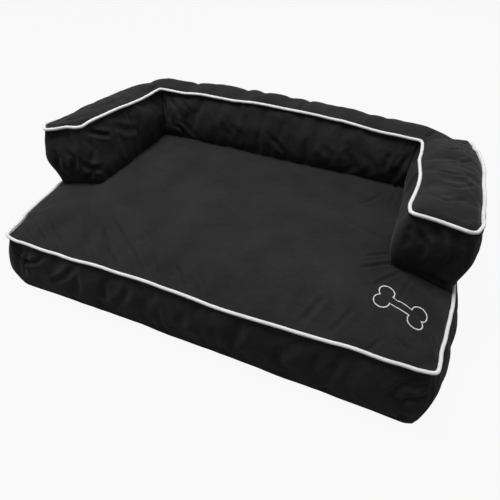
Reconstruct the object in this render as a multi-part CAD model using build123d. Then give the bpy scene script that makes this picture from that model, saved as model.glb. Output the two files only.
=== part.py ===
from build123d import *

from math import cos, radians, sin
import os

# A dog sofa bed: a box cushion for the base, and a U-shaped bolster that makes a back and two
# arms. Both have a zipped cover over bags of fibre. Sizes are in millimetres. X runs to the
# right, Y to the back and Z up, from the floor under the middle of the bed.

# Overall sizes, from seam to seam
base_width = 800.0
base_depth = 534.0
base_seam_height = 136.0
bolster_seam_height = 272.0
arm_setback = 174.0
arm_thickness = 98.0
back_thickness = 104.0

# Stuffed walls, which swell between their seams and are drawn in at the foot
wall_belly = 12.8
foot_inset = 3.0
foot_power = 4
foot_seam_height = 6.0
bolster_foot_inset = 6.0
bolster_lift = 5.0
wall_levels = 7
wall_ease_share = 1.4
base_corner_radius = 12.0

# The base's crown, steep at its seam and flatter further in
crown_run = 200.0
crown_rise = 36.0
crown_levels = 7
crown_ease_share = 0.2
crown_steep_share = 1.5

# The bolster's outline and crown
nose_radius = 16.0
recess_radius = 26.0
rear_radius = 22.0
nose_ease_share = 0.2
bolster_crown_run = 34.0
bolster_crown_rise = 16.0
bolster_crown_levels = 4

# Round corners are made of short straight steps, so that every face of a cover is flat
corner_steps = 6
quarter_turn = 90.0

# The bags inside follow the same curves in fewer steps, each step of theirs a whole number of
# the cover's, and their corners are cut straight across
bag_steps = 1
bag_wall_levels = 4
bag_crown_levels = 4
bag_bolster_crown_levels = 4

# Layers, from the cover in
cover_thickness = 1.5
liner_thickness = 1.0
layer_gap = 0.4
bag_gap = 0.4

# Piping sewn into both top seams
piping_radius = 3.0
piping_sides = 10
piping_gap = 0.4
piping_raise = 0.8

# Zips: two tapes with a row of teeth each, in a slot of the rear boxing
zip_length = 380.0
tape_overrun = 15.0
tape_thickness = 1.0
slot_half_height = 12.0
tape_sink = 1.4
tooth_pitch = 5.0
tooth_root = 3.0
tooth_tip = 2.0
tooth_length = 2.2
tooth_thickness = 2.4
bead_height = 1.2
zip_slit = 1.6
zip_height_share = 0.55
stop_length = 3.0
stop_stand = 1.2
stop_reach = 2.4

# Zip slider
slider_length = 12.0
slider_nose = 12.0
slider_tail = 10.4
slider_plate = 1.2
slider_gap = 0.3
slider_corner = 1.2
flange_width = 0.9
wedge_length = 3.6
wedge_thickness = 0.9
crown_bar_gap = 0.5
crown_bar = 1.0
crown_bar_width = 3.2
crown_bar_half_span = 2.4

# Zip pull
pull_length = 28.0
pull_width = 7.0
pull_thickness = 1.6
pull_window_length = 5.0
pull_window_half = 2.2
pull_hole_radius = 1.7
pull_hole_setback = 4.0
pull_float = 0.3

# Cutting prisms overrun what they cut by this much
overrun = 60.0

# Depths of the layers under the cover's outside
liner_depth = cover_thickness + layer_gap
liner_inside = liner_depth + liner_thickness
fill_depth = liner_inside + layer_gap

# The zip's stack, outwards from the wall's apex: tape, teeth, slider and pull
tape_outside = -tape_sink + tape_thickness / 2
tape_inside = -tape_sink - tape_thickness / 2
plate_inside = -tape_sink + tooth_thickness / 2 + slider_gap
plate_outside = plate_inside + slider_plate
back_inside = -tape_sink - tooth_thickness / 2 - slider_gap
back_outside = back_inside - slider_plate
pull_axis = plate_outside + pull_float + pull_thickness / 2
crown_bar_inside = pull_axis + pull_thickness / 2 + crown_bar_gap
zip_reach = crown_bar_inside + crown_bar
zip_room = -back_outside + layer_gap - liner_depth

# Places that follow from the sizes
base_front_y = -(base_depth + zip_reach) / 2
base_rear_y = base_front_y + base_depth
arm_front_y = base_front_y + arm_setback
back_inner_y = base_rear_y - back_thickness
bolster_foot = base_seam_height + bolster_lift
base_zip_height = base_seam_height * zip_height_share
bolster_zip_height = bolster_foot + (bolster_seam_height - bolster_foot) * zip_height_share
tooth_tip_height = zip_slit / 2
bead_foot = tooth_tip_height + tooth_length
tape_edge = bead_foot + bead_height
slider_rest_x = -zip_length / 2 + slider_length / 2 + slider_gap
slider_travel = -2 * slider_rest_x


def prism(points, bottom, top):
    """An upright prism on a closed outline."""
    outline = make_face(Polyline(*points, close=True))
    return Pos(0, 0, bottom) * extrude(outline, amount=top - bottom)


def levels(count):
    """Even steps from 0 to 1."""
    return [number / (count - 1) for number in range(count)]


def belly(share):
    """How far a stuffed wall swells at a share of its height."""
    return 4 * wall_belly * share * (1 - share)


def foot_draw(share, inset):
    """How far a stuffed wall is drawn in towards its foot."""
    return inset * (1 - share) ** foot_power


def wall_face(rear_y, inset):
    """Where a rear wall's zip lies, on the fullest part of the wall."""
    return rear_y + belly(zip_height_share) - foot_draw(zip_height_share, inset)


def crown_rise_share(share):
    """The rise of a crown's sections, whose runs grow with the square of the share."""
    return crown_steep_share * share - (crown_steep_share - 1) * share**2


def rounded_outline(points, radii, steps):
    """A closed outline whose corners are rounded off in short, straight steps."""
    outline = []
    for number, (x, y) in enumerate(points):
        corner = Vector(x, y)
        before = (Vector(*points[number - 1]) - corner).normalized()
        after = (Vector(*points[(number + 1) % len(points)]) - corner).normalized()
        radius = radii[number]
        if radius == 0:
            outline.append(corner)
            continue
        centre = corner + (before + after) * radius
        for step in range(steps + 1):
            angle = radians(quarter_turn * step / steps)
            along = after * (radius * cos(angle)) + before * (radius * sin(angle))
            outline.append(centre - along)
    return outline


def polygon(points):
    return Face(Wire.make_polygon(points, close=True))


def stacked(sections):
    """A solid through outlines on rising levels, whose edges keep their directions."""
    rings = [[Vector(point.X, point.Y, level) for point in outline] for outline, level in sections]
    faces = [polygon(rings[0]), polygon(rings[-1])]
    for low, high in zip(rings, rings[1:]):
        for number in range(len(low)):
            faces.append(
                polygon([low[number - 1], low[number], high[number], high[number - 1]])
            )
    return Solid(Shell(faces))


def base_corners(swell, ease, layer, bag=False):
    """The base's corners and their radii, swollen or drawn in, at a layer's depth."""
    half = base_width / 2 + swell - layer
    front = base_front_y - swell + layer
    rear = base_rear_y + swell - layer
    if bag:
        rear -= zip_room
    points = [(-half, front), (half, front), (half, rear), (-half, rear)]
    return points, [base_corner_radius + ease - layer] * len(points)


def base_outline(swell, ease, layer, bag=False):
    return rounded_outline(*base_corners(swell, ease, layer, bag), bag_steps if bag else corner_steps)


def base_wall(layer, count=wall_levels, bag=False):
    """The base from its floor to its top seam, at a layer's depth."""
    sections = []
    for share in levels(count):
        level = layer + (base_seam_height - layer) * share
        swell = belly(share) - foot_draw(share, foot_inset)
        ease = wall_ease_share * (belly(share) + foot_draw(share, foot_inset))
        sections.append((base_outline(swell, ease, layer, bag), level))
    return stacked(sections)


def base_crown(layer, count=crown_levels, bag=False):
    """The base above its top seam, at a layer's depth. A negative depth grows it."""
    sections = []
    for share in levels(count):
        level = base_seam_height + (crown_rise - layer) * crown_rise_share(share)
        inset = crown_run * share**2
        outline = base_outline(-inset, crown_ease_share * inset, layer, bag)
        sections.append((outline, level))
    return stacked(sections)


def bolster_corners(swell, ease, layer, bag=False):
    """The bolster's corners and their radii, swollen or drawn in, at a layer's depth."""
    outer = base_width / 2 + swell - layer
    inner = base_width / 2 - arm_thickness - swell + layer
    front = arm_front_y - swell + layer
    back = back_inner_y - swell + layer
    rear = base_rear_y + swell - layer
    if bag:
        rear -= zip_room
    nose = nose_radius + ease - layer
    recess = 0 if bag else recess_radius - swell + layer
    corner = rear_radius + ease - layer
    points = [
        (-outer, front),
        (-inner, front),
        (-inner, back),
        (inner, back),
        (inner, front),
        (outer, front),
        (outer, rear),
        (-outer, rear),
    ]
    return points, [nose, nose, recess, recess, nose, nose, corner, corner]


def bolster_outline(swell, ease, layer, bag=False):
    return rounded_outline(
        *bolster_corners(swell, ease, layer, bag), bag_steps if bag else corner_steps
    )


def bolster_wall(layer, count=wall_levels, bag=False):
    """The bolster from its foot to its top seam, at a layer's depth."""
    sections = []
    for share in levels(count):
        level = bolster_foot + (bolster_seam_height - bolster_foot) * share
        swell = belly(share) - foot_draw(share, bolster_foot_inset)
        ease = belly(share) + foot_draw(share, bolster_foot_inset)
        sections.append((bolster_outline(swell, ease, layer, bag), level))
    return stacked(sections)


def bolster_crown(layer, count=bolster_crown_levels, bag=False):
    """The bolster above its top seam, at a layer's depth."""
    sections = []
    for share in levels(count):
        level = bolster_seam_height + (bolster_crown_rise - layer) * crown_rise_share(share)
        inset = bolster_crown_run * share**2
        outline = bolster_outline(-inset, -nose_ease_share * inset, layer, bag)
        sections.append((outline, level))
    return stacked(sections)


def zip_slot(height):
    """The slot that a zip's tapes fill, through the rear boxing."""
    length = zip_length + 2 * tape_overrun
    return Pos(0, base_rear_y, height) * Box(length, overrun, 2 * slot_half_height)


def base_corner_prisms():
    """A prism for each side of the base, which end at the upright corner seams."""
    half = base_width / 2
    corners = [
        Vector(-half, base_front_y),
        Vector(half, base_front_y),
        Vector(half, base_rear_y),
        Vector(-half, base_rear_y),
    ]
    outwards = [Vector(-1, -1), Vector(1, -1), Vector(1, 1), Vector(-1, 1)]
    prisms = {}
    for number, side in enumerate(("front", "right", "rear", "left")):
        after = (number + 1) % len(corners)
        points = [
            corners[number] + outwards[number] * overrun,
            corners[after] + outwards[after] * overrun,
            corners[after] - outwards[after] * overrun,
            corners[number] - outwards[number] * overrun,
        ]
        prisms[side] = prism(points, 0, base_seam_height)
    return prisms


def bolster_corner_prisms(gap):
    """A prism for each arm and for the back, which meet, or stop short, at the corner seams."""
    half = base_width / 2
    inner = Vector(half - arm_thickness, back_inner_y)
    outer = Vector(half, base_rear_y)
    along = (outer - inner).normalized()
    across = Vector(along.Y, -along.X) * (gap / 2)
    inside = inner - along * overrun
    outside = outer + along * overrun
    arm_inside = inside + across
    arm_outside = outside + across
    back_inside_corner = inside - across
    back_outside_corner = outside - across
    arm_front = arm_front_y - overrun
    arm = [
        arm_inside,
        Vector(arm_inside.X, arm_front),
        Vector(arm_outside.X, arm_front),
        arm_outside,
    ]
    back = [
        Vector(-back_inside_corner.X, back_inside_corner.Y),
        back_inside_corner,
        back_outside_corner,
        Vector(-back_outside_corner.X, back_outside_corner.Y),
    ]
    top = bolster_seam_height + bolster_crown_rise + overrun
    right = prism(arm, 0, top)
    return {"left": mirror(right, about=Plane.YZ), "back": prism(back, 0, top), "right": right}


def piping(points, radii, height):
    """The round cord of a seam, along a closed outline."""
    outline = make_face(FilletPolyline(*points, radius=radii, close=True))
    path = (Pos(0, 0, height) * outline).faces()[0].outer_wire()
    section = Plane(origin=path @ 0, z_dir=path % 0) * RegularPolygon(piping_radius, piping_sides)
    cord = sweep(section, path=path)
    print("piping", round(path.length), round(cord.volume / (section.area * path.length), 4))
    return cord


def base_bag(layer):
    """The whole base at a bag's depth, clear of the zip behind it."""
    return base_wall(layer, bag_wall_levels, True) + base_crown(layer, bag_crown_levels, True)


def bolster_bag(layer):
    """The whole bolster at a bag's depth, clear of the zip and of the base under it."""
    wall = bolster_wall(layer, bag_wall_levels, True)
    crown = bolster_crown(layer, bag_bolster_crown_levels, True)
    return wall + crown - base_crown(-layer - layer_gap)


def base_pieces():
    """The base's cover, its piping, its bag and its fibre."""
    pieces = {}
    shell = base_wall(0) - base_wall(cover_thickness)
    foot = Pos(0, 0, foot_seam_height / 2) * Box(2 * base_width, 2 * base_depth, foot_seam_height)
    pieces["base_bottom_panel"] = shell & foot
    boxing = shell - foot
    for side, side_prism in base_corner_prisms().items():
        pieces[f"base_{side}_boxing"] = boxing & side_prism
    pieces["base_rear_boxing"] -= zip_slot(base_zip_height)
    pieces["base_top_panel"] = base_crown(0) - base_crown(cover_thickness)
    offset = piping_radius + piping_gap
    pieces["base_piping"] = piping(
        *base_corners(0, 0, -offset), base_seam_height + piping_raise
    )
    pieces["base_liner"] = base_bag(liner_depth) - base_bag(liner_inside)
    pieces["base_fibre_fill"] = base_bag(fill_depth)
    return pieces


def bolster_pieces():
    """The bolster's cover, its piping, and a bag of fibre for each arm and for the back."""
    pieces = {}
    lining = base_crown(-layer_gap - cover_thickness)
    walls = bolster_wall(0)
    pieces["bolster_bottom_panel"] = (lining - base_crown(-layer_gap)) & walls
    shell = walls - bolster_wall(cover_thickness) - lining
    corner_prisms = bolster_corner_prisms(0)
    back_middle = (back_inner_y + base_rear_y) / 2
    half = base_width
    outer_half = prism(
        [(-half, back_middle), (half, back_middle), (half, 2 * base_rear_y), (-half, 2 * base_rear_y)],
        0,
        bolster_seam_height,
    )
    pieces["bolster_left_boxing"] = shell & corner_prisms["left"]
    pieces["bolster_right_boxing"] = shell & corner_prisms["right"]
    back_shell = shell & corner_prisms["back"]
    pieces["bolster_inner_back_boxing"] = back_shell - outer_half
    pieces["bolster_outer_back_boxing"] = (back_shell & outer_half) - zip_slot(bolster_zip_height)
    pieces["bolster_top_panel"] = bolster_crown(0) - bolster_crown(cover_thickness)
    offset = piping_radius + piping_gap
    pieces["bolster_piping"] = piping(
        *bolster_corners(0, 0, -offset), bolster_seam_height + piping_raise
    )
    bag = bolster_bag(liner_depth)
    hollow = bolster_bag(liner_inside)
    fibre = bolster_bag(fill_depth)
    bag_prisms = bolster_corner_prisms(bag_gap)
    hollow_prisms = bolster_corner_prisms(bag_gap + 2 * liner_thickness)
    fibre_prisms = bolster_corner_prisms(bag_gap + 2 * liner_thickness + 2 * layer_gap)
    for part in ("left", "back", "right"):
        inside = hollow & hollow_prisms[part]
        pieces[f"bolster_{part}_liner"] = (bag & bag_prisms[part]) - inside
        pieces[f"bolster_{part}_fill"] = fibre & fibre_prisms[part]
    return pieces


def teeth_row(first_x):
    """A row of teeth on its bead, from the bead's foot down to the slit."""
    points = [(-zip_length / 2, tape_edge), (-zip_length / 2, bead_foot)]
    count = int(zip_length / tooth_pitch) - 1
    for number in range(count):
        middle = first_x + number * tooth_pitch
        points += [
            (middle - tooth_root / 2, bead_foot),
            (middle - tooth_tip / 2, tooth_tip_height),
            (middle + tooth_tip / 2, tooth_tip_height),
            (middle + tooth_root / 2, bead_foot),
        ]
    points += [(zip_length / 2, bead_foot), (zip_length / 2, tape_edge)]
    outline = make_face(Polyline(*points, close=True))
    return upright(outline, -tape_sink - tooth_thickness / 2, tooth_thickness)


def upright(outline, inner_y, depth):
    """A flat outline, drawn in X and Z, given a depth outwards along Y."""
    plane = Plane(origin=(0, inner_y + depth, 0), x_dir=(1, 0, 0), z_dir=(0, -1, 0))
    return extrude(plane * outline, amount=depth)


def slider():
    """The slider: two plates that a wedge joins, flanges along them, and a bar for the pull."""
    nose_x = -slider_length / 2
    tail_x = slider_length / 2
    corners = [
        (nose_x, -slider_nose / 2),
        (nose_x, slider_nose / 2),
        (tail_x, slider_tail / 2),
        (tail_x, -slider_tail / 2),
    ]
    outline = fillet(make_face(Polyline(*corners, close=True)).vertices(), slider_corner)
    plate = upright(outline, plate_inside, slider_plate)
    back = upright(outline, back_outside, slider_plate)
    flange_foot = slider_tail / 2 - flange_width
    flange_length = slider_length - 2 * slider_corner
    body = plate + back
    for side in (-1, 1):
        flange = Pos(0, 0, side * (flange_foot + flange_width / 2))
        outer_low = tape_outside + slider_gap
        outer_depth = plate_inside - outer_low
        inner_depth = tape_inside - slider_gap - back_inside
        body += flange * Pos(0, outer_low + outer_depth / 2, 0) * Box(
            flange_length, outer_depth, flange_width
        )
        body += flange * Pos(0, back_inside + inner_depth / 2, 0) * Box(
            flange_length, inner_depth, flange_width
        )
    wedge_depth = plate_inside - back_inside
    body += Pos(nose_x + slider_corner + wedge_length / 2, back_inside + wedge_depth / 2, 0) * Box(
        wedge_length, wedge_depth, wedge_thickness
    )
    bar_length = 2 * (crown_bar_half_span + crown_bar)
    bar_height = zip_reach - plate_outside
    arch = Pos(0, plate_outside + bar_height / 2, 0) * Box(bar_length, bar_height, crown_bar_width)
    gap_height = bar_height - crown_bar
    arch -= Pos(0, plate_outside + gap_height / 2, 0) * Box(
        2 * crown_bar_half_span, gap_height, crown_bar_width
    )
    return body + arch


def pull():
    """The pull: a tab with a window round the slider's bar, and a cross bar that turns under it."""
    tab_middle = (pull_window_length + pull_length) / 2
    tab = Pos(tab_middle, 0) * RectangleRounded(
        pull_length - pull_window_length, pull_width, pull_width / 3
    )
    square_end = Pos(pull_window_length + pull_width / 4, 0) * Rectangle(pull_width / 2, pull_width)
    hole = Pos(pull_length - pull_hole_setback, 0) * Circle(pull_hole_radius)
    arm_width = pull_width / 2 - pull_window_half
    outline = tab + square_end - hole
    for side in (-1, 1):
        middle = side * (pull_window_half + arm_width / 2)
        outline += Pos(pull_window_length / 2, middle) * Rectangle(pull_window_length, arm_width)
    body = upright(outline, pull_axis - pull_thickness / 2, pull_thickness)
    cross_bar = Pos(0, pull_axis, 0) * Cylinder(pull_thickness / 2, pull_width)
    return body + cross_bar


def zip_pieces(name, face_y, height):
    """A closed zip in a rear wall, with its slider at the left end and its pull laid along it."""
    place = Pos(0, face_y, height)
    tape_length = zip_length + 2 * tape_overrun
    tape_height = slot_half_height - tape_edge
    tape_middle = tape_edge + tape_height / 2
    tape = Pos(0, -tape_sink, tape_middle) * Box(tape_length, tape_thickness, tape_height)
    first_x = (tooth_pitch - zip_length) / 2
    upper_teeth = teeth_row(first_x)
    lower_teeth = mirror(teeth_row(first_x + tooth_pitch / 2), about=Plane.XY)
    stop_height = tape_edge + stop_reach - tooth_tip_height
    stop_x = (zip_length + stop_length) / 2
    stop_y = tape_outside + stop_stand / 2
    stop_z = tooth_tip_height + stop_height / 2
    left_stop = Pos(-stop_x, stop_y, stop_z) * Box(stop_length, stop_stand, stop_height)
    both_rows = Pos(stop_x, stop_y, 0) * Box(
        stop_length, stop_stand, 2 * (tape_edge + stop_reach)
    )
    at_slider = Pos(slider_rest_x, 0, 0)
    pieces = {
        "tape_upper": tape,
        "tape_lower": mirror(tape, about=Plane.XY),
        "teeth_upper": upper_teeth,
        "teeth_lower": lower_teeth,
        "stops": Compound([left_stop, mirror(left_stop, about=Plane.XY), both_rows]),
        "slider": at_slider * slider(),
        "pull": at_slider * pull(),
    }
    return {f"{name}_zip_{piece}": place * solid for piece, solid in pieces.items()}


def write(pieces):
    """One STEP file for each piece."""
    os.makedirs("parts", exist_ok=True)
    for name, solid in pieces.items():
        export_step(solid, os.path.join("parts", f"{name}.step"))


def main():
    pieces = base_pieces()
    pieces.update(bolster_pieces())
    base_face_y = wall_face(base_rear_y, foot_inset)
    bolster_face_y = wall_face(base_rear_y, bolster_foot_inset)
    pieces.update(zip_pieces("base", base_face_y, base_zip_height))
    pieces.update(zip_pieces("bolster", bolster_face_y, bolster_zip_height))
    write(pieces)
    print("slider travel", slider_travel, "from x", slider_rest_x)
    print("pull axes at y", base_face_y + pull_axis, bolster_face_y + pull_axis)
    print("zip heights", base_zip_height, bolster_zip_height)


main()
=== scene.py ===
import math

import bmesh
import bpy
import numpy as np
from mathutils import Matrix, Vector, noise
from mathutils.bvhtree import BVHTree
from mathutils.kdtree import KDTree


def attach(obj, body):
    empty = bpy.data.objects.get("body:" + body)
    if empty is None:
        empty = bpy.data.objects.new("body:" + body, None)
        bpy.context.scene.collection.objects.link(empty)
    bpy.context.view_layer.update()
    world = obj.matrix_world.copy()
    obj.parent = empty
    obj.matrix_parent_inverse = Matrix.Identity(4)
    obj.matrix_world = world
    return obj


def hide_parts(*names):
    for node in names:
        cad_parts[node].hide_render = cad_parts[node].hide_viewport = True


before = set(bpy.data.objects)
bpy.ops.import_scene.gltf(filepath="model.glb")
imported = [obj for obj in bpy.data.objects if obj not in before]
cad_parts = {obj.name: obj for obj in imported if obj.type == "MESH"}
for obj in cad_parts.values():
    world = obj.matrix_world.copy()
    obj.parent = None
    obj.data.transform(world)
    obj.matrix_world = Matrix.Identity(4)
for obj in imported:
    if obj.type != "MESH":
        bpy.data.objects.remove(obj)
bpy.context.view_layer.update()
rng = np.random.default_rng(7)

# Sizes in metres, as in the frame
WIDTH = 0.800
HALF = WIDTH / 2
FRONT_Y = -0.26935
REAR_Y = 0.26465
ARM_FRONT_Y = -0.09535
BACK_INNER_Y = 0.16065
ARM_INNER_X = 0.302
BASE_SEAM = 0.136
BOLSTER_SEAM = 0.272
FOOT_SEAM = 0.0025
BOLSTER_FOOT = BASE_SEAM + 0.005
PIPING_RADIUS, PIPING_OUT, PIPING_UP, PIPING_WANDER = 0.003, 0.0034, 0.0008, 0.0006

# The crowned tops: how far in they rise, and by how much
CROWN_RUN, CROWN_RISE = 0.200, 0.036
CROWN_BLEND = 0.016
BOLSTER_RUN, BOLSTER_RISE, BOLSTER_SHARE = 0.034, 0.016, 0.8
TOP_SHARE = 0.76

# The walls: their belly, its share away from the zip and what is added beside it, and the foot
BELLY = 0.0128
FULLNESS = {"base": (0.80, 0.20), "bolster": (0.75, 0.25)}
FOOT_OUT = {"base": 0.0085, "bolster": 0.003}
FOOT_POWER = 2.2
FOOT_SINK = 0.02
GROUND_GAP = 0.0006
TOP_EDGE = 0.006
REAR_BAND, REAR_MARGIN, INNER_MARGIN = 0.03, 0.012, 0.008
SLOT_ROWS = (0.3, 0.8)

# The corners' radii in plan
BASE_CORNER, ARM_OUTER_CORNER, ARM_INNER_CORNER = 0.008, 0.010, 0.009
BACK_INNER_CORNER, REAR_CORNER = 0.012, 0.022

# The zips' slots, and how the shapes stay clear of them
ZIP_HALF_X = 0.205
ZIP_HALF_Z = 0.012
ZIP_Z = {"base": 0.0748, "bolster": 0.21305}
ZIP_FACE_Y = {"base": 0.27675, "bolster": 0.27708}
SLOT_FADE_X, SLOT_FADE_Z = 0.06, 0.028
SLOT_MARGIN_X, SLOT_MARGIN_Z = 0.004, 0.003
SLOT_ZONE_Y = 0.235
RIM_NEAR, RIM_DEPTH = 0.002, 0.0026

# Grid steps, how often the plan is smoothed, and the walls' panels of each cover
PLAN_ROUNDS = 60
STEP = {"base": 0.0088, "bolster": 0.0074}
WALLS = {"base": ("front", "left", "right", "rear"), "bolster": ("inner_back", "outer_back", "left", "right")}
ZIP_WALL = {"base": "rear", "bolster": "outer_back"}

# The photograph's camera
CAMERA_PLACE = np.array([0.270, -0.67335, 0.658])
YAW, PITCH, ROLL = np.radians([21.60, 41.82, -1.56])
FOCAL = 420.06
SIDE = 500


def camera_axes():
    """The camera's right, down and forward directions."""
    forward = np.array([-math.sin(YAW) * math.cos(PITCH), math.cos(YAW) * math.cos(PITCH), -math.sin(PITCH)])
    right = np.array([math.cos(YAW), math.sin(YAW), 0.0])
    down = np.cross(forward, right)
    return (
        math.cos(ROLL) * right + math.sin(ROLL) * down,
        -math.sin(ROLL) * right + math.cos(ROLL) * down,
        forward,
    )


def linked(name, data):
    thing = bpy.data.objects.new(name, data)
    bpy.context.collection.objects.link(thing)
    return thing


def make_camera():
    right, down, forward = camera_axes()
    data = bpy.data.cameras.new("camera")
    data.lens = FOCAL / SIDE * 36
    data.sensor_width = 36
    data.clip_start, data.clip_end = 0.01, 50
    camera = linked("camera", data)
    rows = [[right[k], -down[k], -forward[k], CAMERA_PLACE[k]] for k in range(3)]
    camera.matrix_world = Matrix(rows + [[0, 0, 0, 1]])
    bpy.context.scene.camera = camera


def seen_on(tree, x, y):
    """Where the line of sight through a place of the photograph's view meets a surface."""
    right, down, forward = camera_axes()
    way = forward * FOCAL + right * (x - SIDE / 2) + down * (y - SIDE / 2)
    return tree.ray_cast(Vector(CAMERA_PLACE), Vector(way).normalized())


def smooth_share(t):
    return t * t * (3 - 2 * t)


def unit(ways):
    return ways / np.linalg.norm(ways, axis=1)[:, None]


def along_ring(ring):
    """How far along a closed ring each point lies, and after them the ring's length."""
    return np.concatenate([[0], np.cumsum(np.linalg.norm(np.roll(ring, -1, axis=0) - ring, axis=1))])


def ring_ways(ring):
    """The directions of a closed ring at its points."""
    return np.roll(ring, -1, axis=0) - np.roll(ring, 1, axis=0)


def boundary(faces):
    """The closed loop round four-sided faces, in their direction."""
    directed = {(int(f[k]), int(f[(k + 1) % 4])) for f in faces for k in range(4)}
    following = {a: b for a, b in directed if (b, a) not in directed}
    loop = [min(following)]
    while following[loop[-1]] != loop[0]:
        loop.append(following[loop[-1]])
    return loop


def read(items, key, width, kind=float):
    flat = np.empty(len(items) * width, kind)
    items.foreach_get(key, flat)
    return flat.reshape(-1, width)


def smooth(mesh):
    mesh.polygons.foreach_set("use_smooth", [True] * len(mesh.polygons))


def made(name, points, faces):
    """An object of these faces, shaded smoothly."""
    mesh = bpy.data.meshes.new(name)
    mesh.from_pydata([tuple(p) for p in points], [], faces)
    smooth(mesh)
    return linked(name, mesh)


# Cloth shells on a plan of grid cells: a top, a bottom and the walls between them


def lines(step, *stops):
    """Grid lines through the stops, about a step apart."""
    out = [stops[0]]
    for a, b in zip(stops, stops[1:]):
        count = max(1, round((b - a) / step))
        out += [a + (b - a) * (k + 1) / count for k in range(count)]
    return out


def plan_of(xs, ys, inside):
    """Vertices, cells and the boundary loop, anticlockwise, of the cells that are inside."""
    index, points, cells = {}, [], []

    def vertex(i, j):
        if (i, j) not in index:
            index[i, j] = len(points)
            points.append((xs[i], ys[j]))
        return index[i, j]

    for i in range(len(xs) - 1):
        for j in range(len(ys) - 1):
            if inside((xs[i] + xs[i + 1]) / 2, (ys[j] + ys[j + 1]) / 2):
                cells.append((vertex(i, j), vertex(i + 1, j), vertex(i + 1, j + 1), vertex(i, j + 1)))
    return np.array(points), cells, boundary(cells)


def rounded(points, cells, loop, corners):
    """The plan with its corners rounded, and the cells inside drawn along smoothly."""
    shift = np.zeros_like(points)
    fixed = np.zeros(len(points), bool)
    fixed[loop] = True
    for v in loop:
        for corner, way_a, way_b, radius in corners:
            for along, across in ((way_a, way_b), (way_b, way_a)):
                along, across = np.array(along), np.array(across)
                t = (points[v] - corner) @ along
                if abs((points[v] - corner) @ across) < 1e-6 and -1e-6 < t < radius:
                    angle = (1 - max(t, 0) / radius) * math.pi / 4
                    centre = np.array(corner) + radius * (along + across)
                    target = centre - radius * (math.cos(angle) * across + math.sin(angle) * along)
                    shift[v] = target - points[v]
    edges = np.array(sorted({tuple(sorted((c[k], c[(k + 1) % 4]))) for c in cells for k in range(4)}))
    degree = np.bincount(edges.ravel(), minlength=len(points))[:, None]
    for _ in range(PLAN_ROUNDS):
        total = np.zeros_like(shift)
        np.add.at(total, edges[:, 0], shift[edges[:, 1]])
        np.add.at(total, edges[:, 1], shift[edges[:, 0]])
        shift[~fixed] = (total / degree)[~fixed]
    return points + shift


def outward(ring):
    """The outward directions of an anticlockwise ring of plan points."""
    way = ring_ways(ring)
    return unit(np.stack([way[:, 1], -way[:, 0]], axis=1))


def belly(share):
    return 4 * BELLY * share * (1 - share)


def crown(distance, run, rise):
    share = np.sqrt(np.clip(distance / run, 0, 1))
    return rise * (1.5 * share - 0.5 * share**2)


def slot_share(middle):
    """How near a plan point is to the zip's slot, from 0 to 1."""
    away = np.maximum(np.abs(middle[..., 0]) - ZIP_HALF_X - 2 * SLOT_MARGIN_X, 0)
    rear = middle[..., 1] > REAR_Y - REAR_BAND
    return np.where(rear, np.clip(1 - away / SLOT_FADE_X, 0, 1), 0)


class Shell:
    """A sewn cover as one closed mesh, with a tag on each face for its panel."""

    def __init__(self, name, xs, ys, inside, corners, foot, seam, tag):
        plan, cells, loop = plan_of(xs, ys, inside)
        plan = rounded(plan, cells, loop, corners)
        zip_z = ZIP_Z[name]
        heights = lines(STEP[name], foot, zip_z - ZIP_HALF_Z, zip_z + ZIP_HALF_Z, seam)
        rows = [(z - foot) / (seam - foot) for z in heights]
        self.name, self.plan, self.loop, self.rows, self.seam = name, plan, loop, rows, seam
        self.corners = [corner[0] for corner in corners]
        self.count, self.round = len(plan), len(loop)
        self.faces, self.tags = [], []
        for c in cells:
            self.faces += [c, tuple(v + self.count for v in reversed(c))]
            self.tags += ["top", "bottom"]
        for k in range(len(rows) - 1):
            z = foot + (rows[k] + rows[k + 1]) / 2 * (seam - foot)
            for b in range(self.round):
                after = (b + 1) % self.round
                around = ((k, b), (k, after), (k + 1, after), (k + 1, b))
                self.faces.append(tuple(self.at(*corner) for corner in around))
                middle = (plan[loop[b]] + plan[loop[after]]) / 2
                kind = tag(middle, plan[loop[after]] - plan[loop[b]])
                in_slot = abs(middle[0]) < ZIP_HALF_X and abs(z - zip_z) < ZIP_HALF_Z
                self.tags.append("slot" if in_slot and kind == ZIP_WALL[name] else kind)
        self.size = 2 * self.count + (len(rows) - 2) * self.round
        self.points = np.zeros((self.size, 3))

    def at(self, row, b):
        """The vertex of a wall's row at a place of the loop."""
        if row == 0:
            return self.count + self.loop[b]
        if row == len(self.rows) - 1:
            return self.loop[b]
        return 2 * self.count + (row - 1) * self.round + b

    def set_top(self, rise):
        self.points[: self.count] = np.column_stack([self.plan, self.seam + rise])
        self.points[self.loop, 2] = self.seam

    def set_walls(self, height):
        """Places the walls' rows, bellied between their seams and set out at the foot."""
        ring = self.plan[self.loop]
        normal, full = outward(ring), slot_share(ring)
        plain, added = FULLNESS[self.name]
        for k, share in enumerate(self.rows[:-1]):
            out = belly(share) * (plain + added * full) + FOOT_OUT[self.name] * (1 - share) ** FOOT_POWER
            row = [self.at(k, b) for b in range(self.round)]
            self.points[row, :2] = ring + normal * out[:, None]
            self.points[row, 2] = height(share, full)

    def set_bottom(self, points):
        free = np.setdiff1d(np.arange(self.count), self.loop)
        self.points[self.count + free] = points[free]


def base_tag(middle, way):
    if abs(way[1]) > abs(way[0]):
        return "right" if middle[0] > 0 else "left"
    return "front" if middle[1] < 0 else "rear"


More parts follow.
